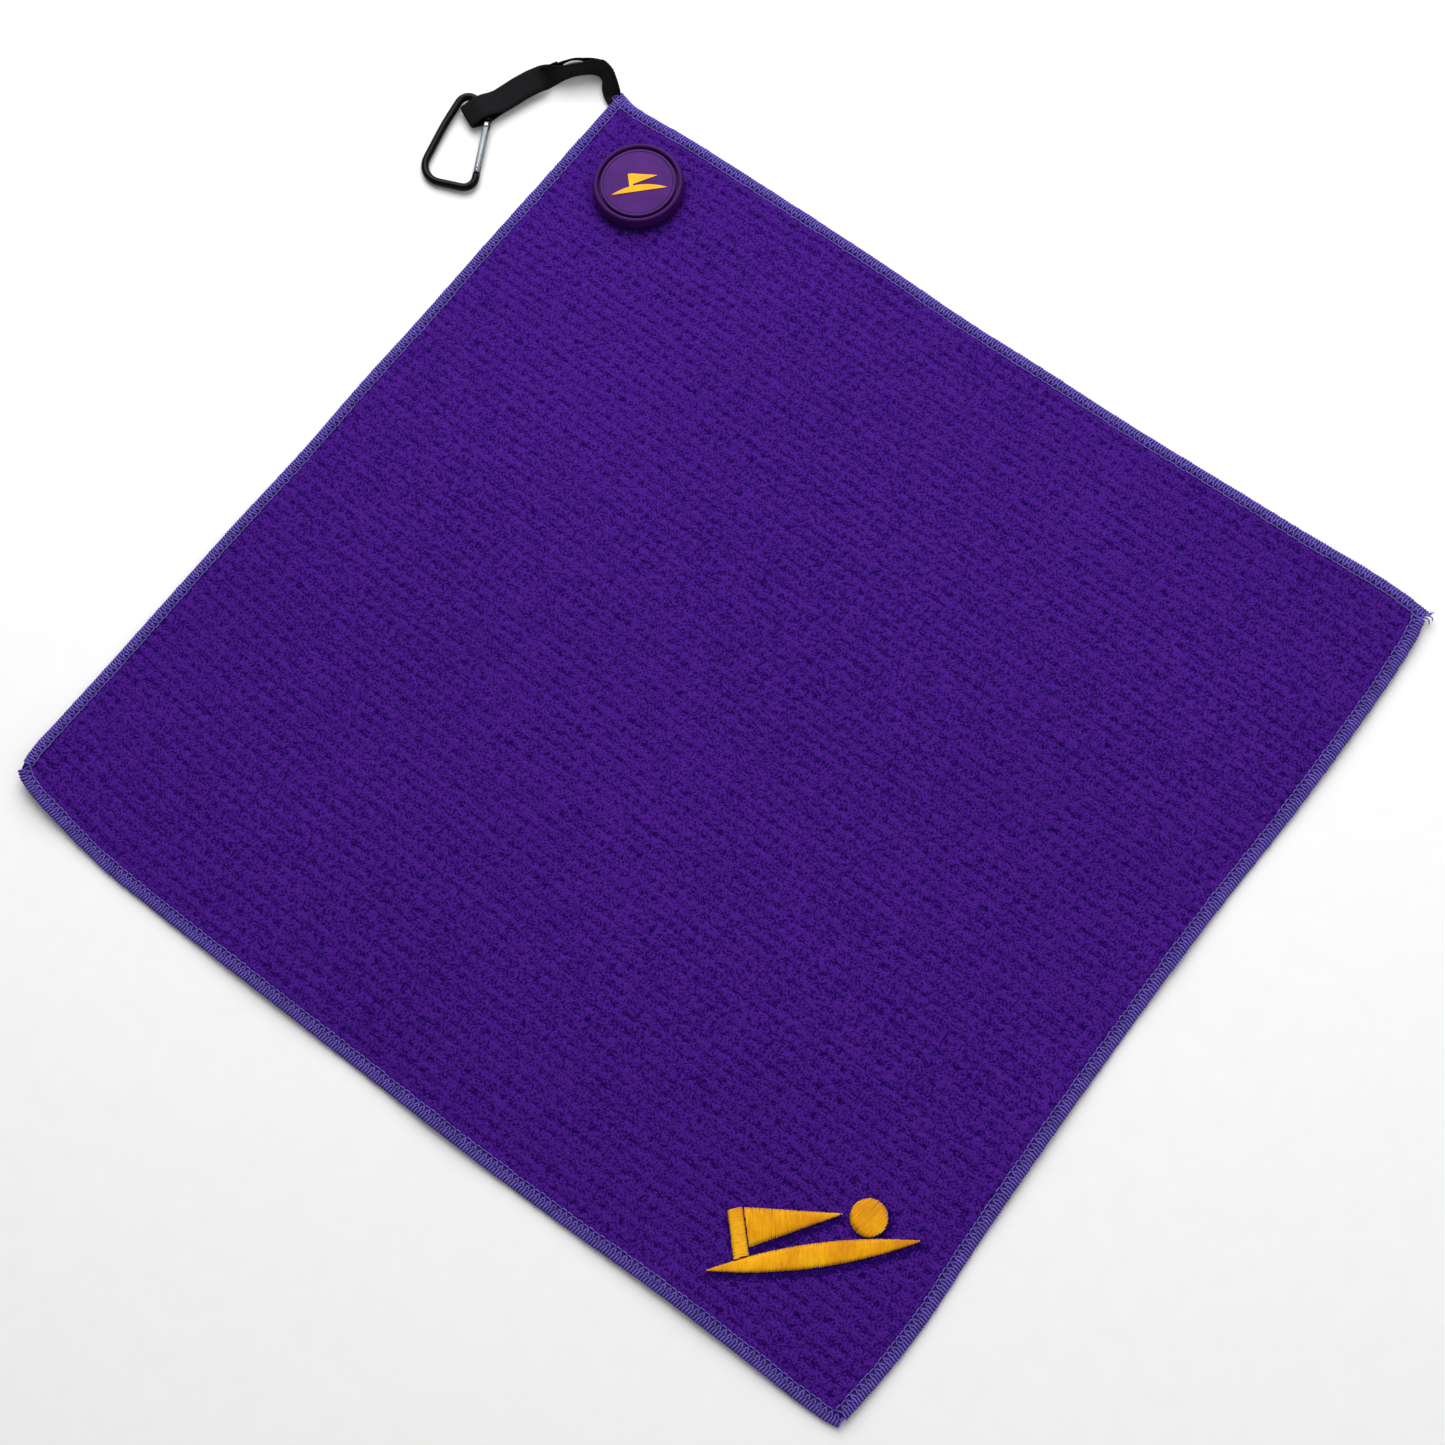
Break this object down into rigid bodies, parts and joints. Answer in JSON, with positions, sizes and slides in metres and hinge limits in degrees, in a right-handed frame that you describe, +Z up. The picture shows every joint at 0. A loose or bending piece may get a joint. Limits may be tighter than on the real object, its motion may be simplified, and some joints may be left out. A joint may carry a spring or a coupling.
{
  "type": "golf towel",
  "caption": "Square waffle-weave golf towel with overlocked edges, a corner webbing loop, a small carabiner, a magnetic ball marker in a rubber holder and an embroidered motif.",
  "frame": {"origin": "centre of the towel's underside, on the surface it lies on", "axes": "+Z up out of the face with the marker, +X along the two longer edges, +Y towards the edge with the loop and the marker"},
  "size_m": [0.4656, 0.3927, 0.0116],
  "materials": {
    "cloth": "soft waffle microfibre",
    "edge_thread": "overlock thread",
    "webbing": "ribbed webbing",
    "black_metal": "gloss",
    "silver_metal": "satin",
    "rivet_steel": "bright",
    "spring_steel": "drawn wire",
    "holder_rubber": "satin",
    "magnet_plating": "bright plate",
    "back_plastic": "matte",
    "marker_steel": "tinted edge",
    "enamel": "satin enamel",
    "gold_enamel": "satin enamel",
    "gold_thread": "satin stitch",
    "backing": "non-woven"
  },
  "bodies": {
    "towel": {"towel_cloth": "cloth", "seam_top_edge": "edge_thread", "seam_right_edge": "edge_thread", "seam_bottom_edge": "edge_thread", "seam_left_edge": "edge_thread", "loop_sewn_end": "webbing", "marker_holder": "holder_rubber", "holder_magnet": "magnet_plating", "holder_rivet": "rivet_steel", "holder_back_plate": "back_plastic", "emblem_green": "gold_thread", "emblem_pole": "gold_thread", "emblem_pennant": "gold_thread", "emblem_ball": "gold_thread", "emblem_backing": "backing"},
    "loop": {"hanging_loop": "webbing"},
    "carabiner": {"carabiner_body": "black_metal", "gate_pivot_rivet": "rivet_steel"},
    "gate": {"carabiner_gate": "silver_metal", "gate_latch_pin": "rivet_steel", "gate_spring": "spring_steel"},
    "marker": {"marker_disc": "marker_steel", "marker_enamel": "enamel", "marker_motif": "gold_enamel"}
  },
  "joints": [
    {"name": "loop_flex", "type": "hinge", "parent": "towel", "child": "loop", "pos_m": [-0.2067, 0.1892, 0.0014], "axis": [0, 1, 0], "range_deg": [0, 80]},
    {"name": "carabiner_swing", "type": "hinge", "parent": "loop", "child": "carabiner", "pos_m": [-0.2477, 0.1512, 0.0035], "axis": [-0.9128, 0.4083, 0], "range_deg": [0, 90]},
    {"name": "gate_open", "type": "hinge", "parent": "carabiner", "child": "gate", "pos_m": [-0.24089, 0.14602, 0.00341], "axis": [0.0181, 0.0404, -0.999], "range_deg": [0, 25], "stiffness_Nm_per_rad": 0.02, "springref_deg": -17.19},
    {"name": "marker_lift", "type": "slide", "parent": "towel", "child": "marker", "axis": [0, 0, 1], "range_m": [0, 0.02]}
  ]
}
